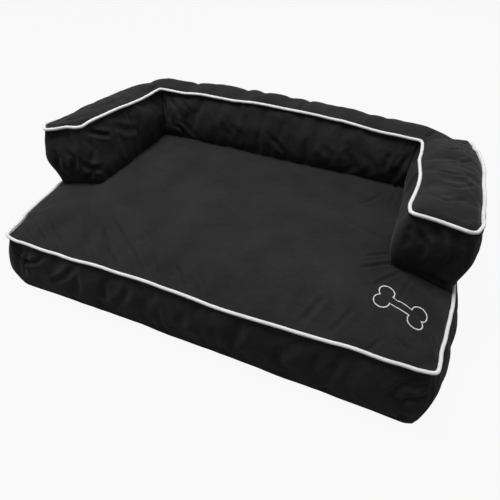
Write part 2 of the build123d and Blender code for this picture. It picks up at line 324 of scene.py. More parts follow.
def shape_base():
    xs = lines(STEP["base"], -HALF, -ZIP_HALF_X, ZIP_HALF_X, HALF)
    ys = lines(STEP["base"], FRONT_Y, REAR_Y)
    corners = [
        ((sx * HALF, y), (-sx, 0), (0, sy), BASE_CORNER)
        for sx in (-1, 1)
        for y, sy in ((FRONT_Y, 1), (REAR_Y, -1))
    ]
    shell = Shell("base", xs, ys, lambda x, y: True, corners, FOOT_SEAM, BASE_SEAM, base_tag)
    x, y = shell.plan.T
    dx = HALF - np.abs(x)
    dy = np.minimum(y - FRONT_Y, REAR_Y - y)
    near = np.exp(-dx / CROWN_BLEND) + np.exp(-dy / CROWN_BLEND)
    near = np.maximum(-CROWN_BLEND * np.log(near), 0)
    shell.set_top(crown(near, CROWN_RUN, CROWN_RISE))
    shell.set_walls(lambda share, full: FOOT_SEAM + share * (BASE_SEAM - FOOT_SEAM))
    lift = FOOT_SEAM * (1 - np.sqrt(np.clip(near / FOOT_SINK, 0, 1)))
    shell.set_bottom(np.column_stack([shell.plan * (1 + FOOT_OUT["base"] / HALF), lift]))
    return shell


def bolster_tag(middle, way):
    x, y = middle
    if y > REAR_Y - REAR_MARGIN and abs(way[0]) > abs(way[1]):
        return "outer_back"
    if abs(x) < ARM_INNER_X - INNER_MARGIN and y > BACK_INNER_Y - INNER_MARGIN:
        return "inner_back"
    return "right" if x > 0 else "left"


def shape_bolster(ground):
    xs = lines(STEP["bolster"], -HALF, -ARM_INNER_X, -ZIP_HALF_X, ZIP_HALF_X, ARM_INNER_X, HALF)
    ys = lines(STEP["bolster"], ARM_FRONT_Y, BACK_INNER_Y, REAR_Y)
    corners = []
    for s in (-1, 1):
        corners += [
            ((s * HALF, ARM_FRONT_Y), (-s, 0), (0, 1), ARM_OUTER_CORNER),
            ((s * ARM_INNER_X, ARM_FRONT_Y), (s, 0), (0, 1), ARM_INNER_CORNER),
            ((s * ARM_INNER_X, BACK_INNER_Y), (-s, 0), (0, -1), BACK_INNER_CORNER),
            ((s * HALF, REAR_Y), (-s, 0), (0, -1), REAR_CORNER),
        ]

    def inside(x, y):
        return abs(x) > ARM_INNER_X or y > BACK_INNER_Y

    shell = Shell("bolster", xs, ys, inside, corners, BOLSTER_FOOT, BOLSTER_SEAM, bolster_tag)
    ring = shell.plan[shell.loop]
    dense = np.concatenate([ring + (np.roll(ring, -1, axis=0) - ring) * t for t in (0, 0.25, 0.5, 0.75)])
    near = np.array([np.sqrt(((dense - p) ** 2).sum(axis=1).min()) for p in shell.plan])
    shell.set_top(BOLSTER_SHARE * crown(near, BOLSTER_RUN, BOLSTER_RISE))
    floor = np.array([ground(x, y) for x, y in ring + outward(ring) * FOOT_OUT["bolster"]])

    def height(share, full):
        """From the ground under the foot to the seam, but level along the slot."""
        sloped = floor - GROUND_GAP + share * (BOLSTER_SEAM - floor + GROUND_GAP)
        level = BOLSTER_FOOT + share * (BOLSTER_SEAM - BOLSTER_FOOT)
        return np.where((full > 0.99) & (SLOT_ROWS[0] < share < SLOT_ROWS[1]), level, sloped)

    shell.set_walls(height)
    shell.set_bottom(np.array([(x, y, ground(x, y) + GROUND_GAP) for x, y in shell.plan]))
    return shell


# The cloth simulation: frames, the farthest that a point moves, how firmly the seams hold, what is
# held round the slots, the cloth's growth, the firmness of the base's middle, and the seams' crease
FRAMES = 20
MOVE_CAP = 0.012
SEAM_HOLD = 0.35
HELD_MARGIN = 0.003
GROW = {"base": 0.030, "bolster": 0.026}
FIRM_FROM, FIRM_OVER, FIRMNESS = 0.02, 0.05, 0.75
SEAM_CREASE = 0.55


def inflate(shell, firm=0.0):
    """Fills the cover under pressure. The points keep near their start, and a firm top grows less."""
    x, y, z = shell.points.T
    held, tight = np.zeros(shell.size), np.zeros(shell.size)
    held[shell.count : 2 * shell.count] = 1
    held[shell.loop] = SEAM_HOLD
    beside_x = np.abs(x) < ZIP_HALF_X + HELD_MARGIN
    beside_z = np.abs(z - ZIP_Z[shell.name]) < ZIP_HALF_Z + HELD_MARGIN
    held[beside_x & beside_z & (y > REAR_Y)] = 1
    tight[shell.loop] = 1
    tight[: shell.count] = np.maximum(tight[: shell.count], firm)
    cloth = made("cloth", shell.points, shell.faces)
    for name, weights in (("pin", held), ("tight", tight)):
        group = cloth.vertex_groups.new(name=name)
        for v, weight in enumerate(weights):
            if weight > 0:
                group.add([v], float(weight), "REPLACE")
    modifier = cloth.modifiers.new("Cloth", "CLOTH")
    s = modifier.settings
    s.quality = 6
    s.mass = 0.2
    s.use_pressure = True
    s.uniform_pressure_force = 4.5
    s.effector_weights.gravity = 0
    s.vertex_group_mass = "pin"
    s.pin_stiffness = 1.0
    s.tension_stiffness = s.compression_stiffness = 25
    s.shear_stiffness = 12
    s.bending_stiffness = 0.15
    s.vertex_group_shrink = "tight"
    s.shrink_min = -GROW[shell.name]
    s.shrink_max = 0.012
    modifier.point_cache.frame_start, modifier.point_cache.frame_end = 1, FRAMES
    scene = bpy.context.scene
    for number in range(1, FRAMES + 1):
        scene.frame_set(number)
    ready = cloth.evaluated_get(bpy.context.evaluated_depsgraph_get()).data
    move = read(ready.vertices, "co", 3) - shell.points
    far = np.linalg.norm(move, axis=1)
    move *= (MOVE_CAP * np.tanh(far / MOVE_CAP) / np.maximum(far, 1e-9))[:, None]
    shell.points = shell.points + move
    mesh = cloth.data
    bpy.data.objects.remove(cloth)
    bpy.data.meshes.remove(mesh)
    scene.frame_set(1)


class Skin:
    """The cover after subdivision, ready for folds and for its panels."""

    def __init__(self, shell, levels):
        self.name, self.corners = shell.name, shell.corners
        names = sorted(set(shell.tags))
        thing = made("skin", shell.points, shell.faces)
        mesh = thing.data
        mesh.polygons.foreach_set("material_index", [names.index(t) for t in shell.tags])
        kinds = {}
        for face in mesh.polygons:
            for key in face.edge_keys:
                kinds.setdefault(key, set()).add(face.material_index)
        values = [SEAM_CREASE if len(kinds[edge.key]) > 1 else 0.0 for edge in mesh.edges]
        mesh.attributes.new("crease_edge", "FLOAT", "EDGE").data.foreach_set("value", values)
        for name in names:
            mesh.materials.append(bpy.data.materials.new("tag_" + name))
        thing.modifiers.new("Subdivision", "SUBSURF").levels = levels
        graph = bpy.context.evaluated_depsgraph_get()
        fine = bpy.data.meshes.new_from_object(thing.evaluated_get(graph), depsgraph=graph)
        self.points = read(fine.vertices, "co", 3)
        self.faces = read(fine.polygons, "vertices", 4, np.int64)
        self.tags = np.array(names)[read(fine.polygons, "material_index", 1, np.int64).ravel()]
        used = list(fine.materials)
        bpy.data.objects.remove(thing)
        bpy.data.meshes.remove(mesh)
        bpy.data.meshes.remove(fine)
        for material in used:
            bpy.data.materials.remove(material)

    def normals(self):
        p, f = self.points, self.faces
        face = np.cross(p[f[:, 2]] - p[f[:, 0]], p[f[:, 3]] - p[f[:, 1]])
        out = np.zeros_like(p)
        for k in range(4):
            np.add.at(out, f[:, k], face)
        return out / np.maximum(np.linalg.norm(out, axis=1), 1e-12)[:, None]

    def tree(self, *tags):
        faces = self.faces[np.isin(self.tags, tags)] if tags else self.faces
        return BVHTree.FromPolygons([tuple(p) for p in self.points], faces.tolist())

    def members(self, *tags):
        """The vertices of the panels with these tags."""
        return np.unique(self.faces[np.isin(self.tags, tags)])

    def top_seam(self):
        return boundary(self.faces[self.tags == "top"])

    def begin(self):
        self.out, self.move = self.normals(), np.zeros_like(self.points)

    def push(self, members, shift):
        self.move[members] += self.out[members] * shift[:, None]

    def settle(self, still):
        """Carries out the pushes, but not on the vertices that keep still."""
        self.move[still] = 0
        self.points = self.points + self.move
        self.move = np.zeros_like(self.points)

    def panel(self, name, tag):
        """A panel as an object of its own."""
        faces = self.faces[self.tags == tag]
        used, number = np.unique(faces, return_inverse=True)
        return made(name, self.points[used], number.reshape(-1, 4).tolist())


# How the stuffed forms lean and sag: places x, y, z in mm, and how far each is moved to the right
# and down in the photograph's view
LEANS = [
    # base, front seam
    (-394, -263, 137, 2, 9), (-354, -267, 136, 0, 6), (-310, -267, 136, 0, 7.5), (-266, -267, 136, 0, 7),
    (-222, -267, 136, 0, 6), (-178, -267, 136, 0, 5), (-135, -267, 136, 0, 5), (-91, -267, 136, 0, 4.7),
    (-48, -267, 136, 0, 5), (-4, -267, 136, 0, 6.3), (39, -267, 136, 0, 6.6), (83, -267, 136, 0, 6.3),
    (126, -267, 136, 0, 5.6), (170, -267, 136, 0, 5), (213, -267, 136, 0, 3.3), (257, -267, 136, 0, 1),
    (301, -267, 136, 0, 0), (345, -267, 136, 0, 1), (390, -264, 136, 0, 0),
    # base, right seam
    (398, -233, 136, 0, 0), (398, -190, 136, 4, 0), (398, -146, 136, 7.5, 0), (398, -102, 136, 8.5, 0),
    (398, -40, 136, 6, 0),
    # base, left seam and the walls' fullness beside it and on the right
    (-399, -215, 136, -3, 2), (-400, -160, 136, -5, 0), (-400, -105, 136, -8, 0), (-400, -50, 136, -8, 0),
    (-412, -255, 70, -4, 1), (-412, -180, 70, -4, 0), (412, -260, 60, 4, 0), (412, -200, 75, 10, 0),
    (412, -120, 75, 14, 0), (412, -50, 75, 14, 0), (400, -272, 30, -5, -1), (-300, -276, 30, 0, 4),
    (-385, -272, 30, -2, 5),
    # bolster, back's inner seam
    (-282, 160, 272, 0, -2.5), (-248, 161, 272, 0, -3.5), (-211, 161, 272, 0, -4), (-174, 161, 272, 0, -4.5),
    (-137, 161, 272, 0, -5.5), (-100, 161, 272, 0, -6.5), (-63, 161, 272, 0, -7.5), (-26, 161, 272, 0, -8),
    (11, 161, 272, 0, -7.5), (48, 161, 272, 0, -7.3), (85, 161, 272, 0, -7.2), (122, 161, 272, 0, -6.5),
    (160, 161, 272, 0, -5.3), (197, 161, 272, 0, -3), (234, 161, 272, 0, -2.4), (270, 160, 272, 0, -1.8),
    # left arm
    (-306, -85, 272, -13, -10), (-302, -44, 272, -7, -10), (-302, -7, 272, -5, -9), (-302, 29, 272, -3, -6.5),
    (-302, 65, 272, -2, -5.2), (-302, 101, 272, -1, -4), (-302, 137, 272, 0, -2.2), (-325, -94, 272, -9, -8),
    (-362, -93, 272, -6, -1.5), (-392, -87, 272, -8, 4), (-397, -60, 272, -9, 4), (-402, -75, 225, -6, 1),
    (-402, -75, 185, -13, 0), (-402, -20, 190, -8, 0), (-399, -7, 272, -4, 3), (-400, 60, 272, -1, 5),
    (-400, 120, 272, -2, 6), (-400, 175, 272, -1, 10), (-398, 230, 272, 0, 14), (-380, 262, 272, 1, 16),
    # right arm
    (296, 147, 272, 2.5, -0.5), (303, 116, 272, 1, 0), (303, 80, 272, 1, 0), (303, 43, 272, 4, 0),
    (303, 7, 272, 8.5, 0), (303, -29, 272, 7, 0), (303, -65, 272, 2, 0), (313, -92, 272, 0, 0),
    (347, -93, 272, 0, 0), (380, -93, 272, 5, 6), (399, -72, 272, 6, 8), (414, -60, 215, 9, 0),
    (414, 0, 215, 12, 0), (414, 60, 215, 11, 0), (414, 120, 215, 9, 0), (400, -36, 272, 6, 2),
    (400, 36, 272, 5, 0), (400, 109, 272, 4, 1), (400, 170, 272, 1, 5), (398, 225, 272, 0, 9),
    (380, 260, 272, 0, 12),
    # back's outer seam
    (-338, 264, 272, 0, 11), (-264, 264, 272, 0, 9), (-190, 264, 272, 0, 8), (-115, 264, 272, 0, 7),
    (-41, 264, 272, 0, 9), (34, 264, 272, 0, 9), (108, 264, 272, 0, 8.5), (182, 264, 272, 0, 10.5),
    (256, 264, 272, 0, 12.5), (331, 264, 272, 0, 13.5),
]
LEAN_REACH, LEAN_REST = 0.042, 0.12
LEAN_FLOOR = {"base": 0.01, "bolster": 0.165}
FLOOR_FADE = 0.05
# The bolster's outer seam is where a place is this high, and this far back or this far out
OUTER_Z, REAR_SAG_Y, SIDE_SAG_X, SIDE_SAG_Y = 0.25, 0.20, 0.39, 0.05
OUTER_FOOT = 0.150


def leaned(points, floor):
    """The points moved as the places near them are, less near the floor, and not round the zips."""
    right, down, forward = camera_axes()
    x, y, z = points.T
    # A hanging outer seam presses the wall under it evenly. Over the zip only the cloth above it gives
    height = np.clip((z - OUTER_FOOT) / (BOLSTER_SEAM - OUTER_FOOT), 0, 1)
    slot_top = ZIP_Z["bolster"] + ZIP_HALF_Z + SLOT_MARGIN_Z
    over_slot = np.clip((z - slot_top) / (BOLSTER_SEAM - slot_top), 0, 1)
    beside = np.clip((np.abs(x) - ZIP_HALF_X - SLOT_MARGIN_X) / SLOT_FADE_X, 0, 1)
    beside = np.where(y > SLOT_ZONE_Y, smooth_share(beside), 1)
    height_share = over_slot + (height - over_slot) * beside
    total = np.full(len(points), LEAN_REST)
    move, pressed = np.zeros_like(points), np.zeros_like(points)
    for *place, dx, dy in LEANS:
        place = np.array(place) / 1000
        scale = (place - CAMERA_PLACE) @ forward / FOCAL
        gap = points - place
        rear = place[1] > REAR_SAG_Y
        sag = np.array([0, 0, dy / down[2]]) if rear else down * dy
        shift = (right * dx + sag) * scale
        if place[2] > OUTER_Z and (rear or abs(place[0]) > SIDE_SAG_X and place[1] > SIDE_SAG_Y):
            near = np.exp(-(gap[:, :2] ** 2).sum(axis=1) / LEAN_REACH**2) * (z > OUTER_FOOT)
            pressed += near[:, None] * shift
        else:
            near = np.exp(-(gap**2).sum(axis=1) / LEAN_REACH**2)
            move += near[:, None] * shift
        total += near
    move /= total[:, None]
    pressed *= (height_share / total)[:, None]
    for middle in ZIP_Z.values():
        off_z = np.maximum(np.abs(z - middle) - ZIP_HALF_Z - SLOT_MARGIN_Z, 0) / SLOT_FADE_Z
        off_x = np.maximum(np.abs(x) - ZIP_HALF_X - SLOT_MARGIN_X, 0) / SLOT_FADE_X
        off = np.where(y > SLOT_ZONE_Y, np.clip(np.hypot(off_z, off_x), 0, 1), 1)
        move *= smooth_share(off)[:, None]
    rise = smooth_share(np.clip((z - floor) / FLOOR_FADE, 0, 1))
    move[:, 2] *= rise
    move[:, :2] *= (0.5 + 0.5 * rise)[:, None]
    return points + move + pressed


# Folds: each runs through three places, x and y in the photograph's view, and then come its depth
# and its width in tenths of a mm
BASE_FOLDS = [
    (87, 203, 86, 230, 89, 262, 16, 65), (101, 224, 106, 248, 118, 272, 26, 60),
    (111, 214, 122, 236, 133, 258, 12, 60), (131, 246, 137, 262, 140, 274, 14, 45),
    (152, 252, 156, 268, 159, 280, 12, 45), (176, 262, 180, 276, 182, 289, 13, 45),
    (198, 272, 203, 286, 205, 297, 10, 40), (20, 216, 25, 228, 33, 243, 16, 35),
    (28, 210, 36, 226, 47, 246, 14, 40), (44, 214, 54, 232, 66, 252, 10, 50),
    (333, 214, 360, 229, 388, 243, 12, 60), (404, 262, 384, 264, 355, 268, 24, 45),
    (403, 256, 386, 254, 362, 255, 16, 45), (406, 270, 392, 276, 370, 287, 18, 45),
    (412, 278, 404, 290, 394, 306, 14, 45), (327, 294, 313, 309, 299, 323, 18, 70),
    (356, 306, 343, 320, 330, 333, 15, 60), (383, 338, 374, 346, 364, 353, 12, 45),
    (412, 352, 404, 345, 394, 334, 15, 45), (437, 350, 431, 338, 424, 322, 14, 40),
    (394, 176, 396, 192, 388, 210, 22, 50), (386, 192, 372, 200, 352, 206, 12, 55),
    (176, 142, 196, 152, 222, 160, 12, 55), (170, 146, 178, 166, 182, 190, 12, 60),
    # front boxing
    (432, 384, 418, 388, 398, 386, 20, 40), (430, 396, 414, 400, 392, 400, 16, 45),
    (420, 376, 404, 384, 386, 398, 22, 60), (404, 421, 398, 404, 384, 388, 20, 50),
    (344, 350, 338, 366, 322, 384, 18, 70), (300, 334, 288, 350, 270, 362, 16, 80),
    (244, 318, 238, 336, 226, 350, 16, 70), (190, 306, 180, 324, 166, 334, 16, 70),
    (132, 282, 124, 298, 112, 308, 16, 60), (78, 264, 66, 276, 50, 284, 20, 50),
    (46, 254, 36, 262, 20, 262, 22, 40), (30, 252, 24, 262, 26, 276, 18, 40),
    (14, 250, 20, 258, 34, 268, 18, 35),
]
BOLSTER_FOLDS = [
    # left arm's front and inner corner
    (86, 131, 98, 134, 112, 136, 20, 40), (88, 138, 94, 150, 92, 166, 14, 50),
    (80, 162, 92, 170, 104, 168, 26, 50), (84, 178, 94, 174, 100, 180, 20, 40),
    (66, 150, 74, 158, 76, 172, 18, 50), (52, 148, 58, 158, 60, 172, 16, 50),
    (112, 124, 124, 130, 140, 130, 12, 60), (163, 95, 166, 108, 170, 124, 30, 42),
    (170, 98, 176, 108, 180, 120, 20, 45), (174, 124, 182, 130, 188, 138, 22, 45),
    (182, 100, 188, 110, 190, 122, 14, 45),
    # back's inner wall
    (270, 136, 277, 144, 284, 154, 16, 55), (230, 122, 238, 134, 240, 146, 12, 60),
    (322, 144, 330, 156, 330, 170, 14, 65), (362, 150, 370, 164, 366, 178, 14, 65),
    (419, 150, 412, 168, 404, 188, 32, 45), (410, 152, 402, 166, 392, 182, 26, 50),
    (400, 152, 396, 164, 390, 178, 22, 50), (388, 150, 390, 162, 384, 174, 14, 55),
    (420, 170, 412, 180, 408, 192, 18, 45),
    # right arm's inner side and front
    (416, 196, 410, 206, 404, 214, 16, 45), (410, 222, 408, 236, 404, 250, 16, 45),
    (416, 226, 424, 244, 420, 262, 24, 50), (430, 224, 440, 240, 438, 262, 20, 60),
    (450, 230, 456, 246, 452, 268, 18, 60), (470, 238, 468, 252, 462, 268, 18, 50),
    (408, 268, 430, 276, 456, 288, 22, 45),
    # across the arms' tops
    (436, 146, 452, 150, 470, 148, 10, 40), (438, 158, 456, 163, 476, 160, 12, 45),
    (434, 170, 452, 174, 474, 176, 9, 40), (440, 184, 460, 188, 479, 184, 12, 45),
    (430, 194, 446, 200, 470, 200, 10, 45), (60, 122, 78, 118, 96, 112, 9, 50),
    (92, 108, 108, 104, 126, 98, 9, 50), (120, 100, 128, 94, 134, 90, 10, 45),
    (150, 90, 156, 86, 160, 82, 16, 50), (424, 138, 432, 134, 440, 128, 16, 50),
    (210, 94, 214, 90, 216, 88, 10, 50), (296, 112, 302, 106, 304, 100, 10, 50),
    (360, 124, 364, 118, 364, 110, 10, 50),
]
FOLDS = {"base": BASE_FOLDS, "bolster": BOLSTER_FOLDS}
FOLD_DEPTH, FOLD_WIDTH = 1.7, 0.80
WALL_DEPTH, WALL_WIDTH = 1.05, 1.55
RIDGE_SHARE, RIDGE_OUT, RIDGE_WIDTH = 0.45, 1.7, 0.8
FOLD_REACH = 3.2

# Gathers off the top seam into the top and into the walls: spacing, depth, reach, and growth at corners
GATHERS = {
    "base": ((0.030, 0.0011, 0.030, 2.2), (0.034, 0.0013, 0.034, 2.2)),
    "bolster": ((0.024, 0.0005, 0.022, 1.4), (0.028, 0.0015, 0.030, 1.6)),
}
GATHER_WIDTH = (0.0035, 0.0075)
GATHER_LENGTH, GATHER_DEPTH, GATHER_SKEW, GATHER_STEP = (0.4, 1.3), (0.3, 1.0), (-0.5, 0.5), (0.6, 1.5)
CORNER_REACH, LIP = 0.05, 0.004
# Uneven filling: size, depth and a number of its own
LUMPS = {
    "base": ((0.085, 0.0022, 1), (0.030, 0.0007, 2)),
    "bolster": ((0.075, 0.0022, 5), (0.028, 0.0008, 6)),
}
# The corner seams' depth and width
CORNER_SEAMS = {"base": (0.0022, 0.0030), "bolster": (0.0020, 0.0028)}


def near_line(points, line):
    """Each point's distance from a polyline, and how far along it the nearest place is."""
    best = np.full(len(points), 1e9)
    along = np.zeros(len(points))
    run = 0.0
    for a, b in zip(line, line[1:]):
        way = b - a
        length = np.linalg.norm(way)
        t = np.clip((points - a) @ way / length**2, 0, 1)
        gap = np.linalg.norm(points - a - t[:, None] * way, axis=1)
        closer = gap < best
        best[closer] = gap[closer]
        along[closer] = run + t[closer] * length
        run += length
    return best, along / run


def fold(skin, line, depth, width, ends=0.3):
    """A valley along a line, with a soft ridge on each side."""
    line = np.array(line)
    reach = width * FOLD_REACH
    low, high = line.min(axis=0) - reach, line.max(axis=0) + reach
    close = np.where(((skin.points > low) & (skin.points < high)).all(axis=1))[0]
    if not len(close):
        return
    gap, along = near_line(skin.points[close], line)
    fade = smooth_share(np.clip(np.minimum(along, 1 - along) / ends, 0, 1))
    valley = np.exp(-((gap / width) ** 2))
    ridges = np.exp(-(((gap - RIDGE_OUT * width) / (RIDGE_WIDTH * width)) ** 2))
    skin.push(close, (-valley + RIDGE_SHARE * ridges) * depth * fade)


def photo_fold(skin, tree, places, depth, width):
    """A fold whose line is given in the photograph's view. It is softer on a wall than on a top."""
    line, upright = [], []
    for a, b in zip(places, places[1:]):
        for t in (0, 0.25, 0.5, 0.75, 1):
            hit, normal, _, _ = seen_on(tree, *(a + (b - a) * t))
            if hit is not None and (not line or np.linalg.norm(np.array(hit) - line[-1]) > 1e-5):
                line.append(np.array(hit))
                upright.append(abs(normal.z))
    if len(line) > 1:
        if np.mean(upright) < 0.5:
            depth, width = depth * WALL_DEPTH, width * WALL_WIDTH
        fold(skin, line, depth, width)


def gathers(skin, tags, spacing, depth, reach, grow):
    """Small puckers that run off the top seam, deeper near its corners."""
    members = skin.members(*tags)
    loop = skin.top_seam()
    ring = skin.points[loop]
    at = along_ring(ring)
    at, total = at[:-1], at[-1]
    finder = KDTree(len(loop))
    for k, p in enumerate(ring):
        finder.insert(p, k)
    finder.balance()
    gap = np.empty(len(members))
    along = np.empty(len(members))
    for k, v in enumerate(members):
        _, number, distance = finder.find(skin.points[v])
        gap[k], along[k] = distance, at[number]
    place = 0.0
    shift = np.zeros(len(members))
    while place < total:
        here = ring[np.searchsorted(at, place) - 1]
        near_corner = min(np.linalg.norm(here[:2] - np.array(c)) for c in skin.corners)
        boost = 1 + grow * math.exp(-((near_corner / CORNER_REACH) ** 2))
        width = rng.uniform(*GATHER_WIDTH)
        length = rng.uniform(*GATHER_LENGTH) * reach * (1 + 0.3 * (boost - 1))
        skew = rng.uniform(*GATHER_SKEW)
        deep = rng.uniform(*GATHER_DEPTH) * depth * boost
        beside = (along - place + skew * gap + total / 2) % total - total / 2
        valley = np.exp(-((beside / (width * (1 + gap / reach))) ** 2))
        ridges = 0.35 * np.exp(-((beside / (2.4 * width)) ** 2))
        lip = 1 - np.exp(-((gap / LIP) ** 2))
        shift -= deep * (valley - ridges) * np.exp(-((gap / length) ** 2)) * lip
        place += rng.uniform(*GATHER_STEP) * spacing / boost**0.6
    skin.push(members, shift)


def lumps(skin, members, size, depth, seed):
    """Uneven filling, as smooth noise over the surface."""
    offset = Vector((seed * 3.1, seed * 1.7, seed * 2.3))
    shift = np.array([noise.noise(Vector(skin.points[v]) / size + offset) for v in members])
    skin.push(members, shift * depth)


def dress(skin, still, corner_seams):
    """Gathers, lumps and folds, and the corner seams sunk a little. The still panels keep their shape."""
    walls = WALLS[skin.name]
    still = skin.members(*still)
    skin.begin()
    for tags, values in zip((("top",), walls), GATHERS[skin.name]):
        gathers(skin, tags, *values)
    for values in LUMPS[skin.name]:
        lumps(skin, skin.members("top", "slot", *walls), *values)
    tree = skin.tree("top", *walls)
    for *places, depth, width in FOLDS[skin.name]:
        size = FOLD_DEPTH * (depth / 10000), FOLD_WIDTH * (width / 10000)
        photo_fold(skin, tree, np.reshape(places, (3, 2)), *size)
    skin.settle(still)
    skin.begin()
    for first, second in corner_seams:
        seam = np.intersect1d(skin.members(first), skin.members(second))
        line = skin.points[sorted(seam, key=lambda v: skin.points[v][2])]
        fold(skin, line[::2], *CORNER_SEAMS[skin.name], ends=0.1)
        skin.settle(still)


def skins_of(shell):
    """The cover for show, and a coarse one from which the bags are made."""
    skins = Skin(shell, 2), Skin(shell, 0)
    for skin in skins:
        skin.points = leaned(skin.points, LEAN_FLOOR[shell.name])
    return skins


make_camera()

base = shape_base()
x, y = base.plan.T
from_edge = np.minimum(HALF - np.abs(x), np.minimum(y - FRONT_Y, REAR_Y - y))
inflate(base, firm=np.clip((from_edge - FIRM_FROM) / FIRM_OVER, 0, 1) * FIRMNESS)
base.points[: base.count, 2] = BASE_SEAM + (base.points[: base.count, 2] - BASE_SEAM) * TOP_SHARE
base_skin, base_core = skins_of(base)
dress(base_skin, ["slot"], [(end, side) for end in ("front", "rear") for side in ("left", "right")])
base_top_tree = base_skin.tree("top")


def base_top(x, y):
    """The height of the base's top at a place in plan, or just inside its edge."""
    edge = HALF - TOP_EDGE
    place = Vector((max(-edge, min(edge, x)), min(y, REAR_Y - TOP_EDGE), 1))
    hit = base_top_tree.ray_cast(place, Vector((0, 0, -1)))[0]
    return hit.z if hit is not None else BASE_SEAM


bolster = shape_bolster(base_top)
inflate(bolster)
bolster_skin, bolster_core = skins_of(bolster)
sides = [(wall, side) for wall in ("inner_back", "outer_back") for side in ("left", "right")]
dress(bolster_skin, ["slot", "bottom"], sides)

# The cloth lies flat round a slot's ends, where the zip's pull passes over it
PULL_INSIDE_Y, PULL_HALF_WIDTH, PULL_PAST_SLOT = 0.2787, 0.0035, 0.0067
PULL_CLEAR, PULL_MARGIN, FLAT_FADE = 0.0012, 0.001, 0.016
for skin in (base_skin, bolster_skin):
    x, y, z = skin.points.T
    off_x = np.maximum(np.abs(x) - ZIP_HALF_X - PULL_PAST_SLOT - PULL_MARGIN, 0)
    off_z = np.maximum(np.abs(z - ZIP_Z[skin.name]) - PULL_HALF_WIDTH - PULL_MARGIN, 0)
    off = np.clip(np.hypot(off_x, off_z) / FLAT_FADE, 0, 1)
    skin.points[:, 1] -= np.maximum(y - PULL_INSIDE_Y + PULL_CLEAR, 0) * (1 - smooth_share(off))


# Materials


class Nodes:
    """The nodes of a material or of the world, made one call each."""

    def __init__(self, owner, shader="Principled BSDF", **values):
        owner.use_nodes = True
        self.owner, self.tree = owner, owner.node_tree
        self.shader = self.tree.nodes[shader]
        for key, value in values.items():
            self.shader.inputs[key.replace("_", " ")].default_value = value

    def add(self, kind, *inputs, **settings):
        node = self.tree.nodes.new("ShaderNode" + kind)
        for key, value in settings.items():
            setattr(node, key, value)
        for number, value in enumerate(inputs):
            if value is None:
                continue
            if isinstance(value, bpy.types.NodeSocket):
                self.tree.links.new(value, node.inputs[number])
            else:
                node.inputs[number].default_value = value
        return node

    def math(self, operation, *inputs):
        return self.add("Math", *inputs, operation=operation).outputs[0]

    def link(self, socket, name):
        self.tree.links.new(socket, self.shader.inputs[name])

    def place(self, kind="Object"):
        return self.add("TexCoord").outputs[kind]

    def noise(self, vector, scale, detail=2.0, stretch=None):
        if stretch:
            vector = self.add("Mapping", vector, None, None, stretch).outputs[0]
        node = self.add("TexNoise", vector)
        node.inputs["Scale"].default_value = scale
        node.inputs["Detail"].default_value = detail
        return node.outputs[0]

    def colour(self, factor, low, dark, high, light):
        """The base colour, from dark to light between two values of the factor."""
        node = self.add("ValToRGB", factor)
        for element, place, colour in zip(node.color_ramp.elements, (low, high), (dark, light)):
            element.position, element.color = place, (*colour, 1)
        self.link(node.outputs[0], "Base Color")

    def roughness(self, factor, *span):
        self.link(self.add("MapRange", factor, *span).outputs[0], "Roughness")

    def weave(self, pitch):
        """A plain weave laid on each side of the object by its direction."""
        parts = self.add("SeparateXYZ", self.place())
        normal = self.add("SeparateXYZ", self.add("NewGeometry").outputs["Normal"])
        wave = 2 * math.pi / pitch
        s = [self.math("SINE", self.math("MULTIPLY", parts.outputs[k], wave)) for k in range(3)]
        out = None
        for k, (a, b) in enumerate(((1, 2), (0, 2), (0, 1))):
            facing = self.math("ABSOLUTE", normal.outputs[k])
            part = self.math("MULTIPLY", facing, self.math("MULTIPLY", s[a], s[b]))
            out = part if out is None else self.math("ADD", out, part)
        return out

    def bump(self, height, distance, strength, under=None):
        node = self.add("Bump")
        node.inputs["Strength"].default_value = strength
        node.inputs["Distance"].default_value = distance
        self.tree.links.new(height, node.inputs["Height"])
        if under is not None:
            self.tree.links.new(under, node.inputs["Normal"])
        return node.outputs[0]

    def finished(self, height, distance, strength, under=None):
        """The material, with its topmost relief."""
        self.link(self.bump(height, distance, strength, under), "Normal")
        return self.owner


def material(name, **values):
    return Nodes(bpy.data.materials.new(name), **values)


def brushed_fabric(name, dark, light, sheen):
    """Short-napped woven fabric: brushed clouds of tone, a fine grain and a weave under it."""
    n = material(name, Roughness=0.82, Sheen_Weight=sheen, Sheen_Roughness=0.45, Specular_IOR_Level=0.22)
    place = n.place()
    clouds = n.noise(place, 16, 4.0)
    strokes = n.noise(place, 60, 3.0, (1.0, 4.0, 2.0))
    grain = n.noise(place, 1400, 3.0)
    nap = n.noise(place, 420, 4.0, (1.0, 2.2, 1.4))
    tone = n.math("MULTIPLY_ADD", clouds, 0.45, n.math("MULTIPLY", strokes, 0.25))
    tone = n.math("ADD", tone, n.math("MULTIPLY", grain, 0.30))
    n.colour(tone, 0.36, dark, 0.62, light)
    n.roughness(nap, 0.3, 0.7, 0.74, 0.94)
    weave = n.bump(n.weave(0.0011), 0.00012, 0.55)
    soft = n.bump(n.noise(place, 130, 3.0), 0.0009, 0.35, weave)
    return n.finished(nap, 0.00035, 0.55, soft)


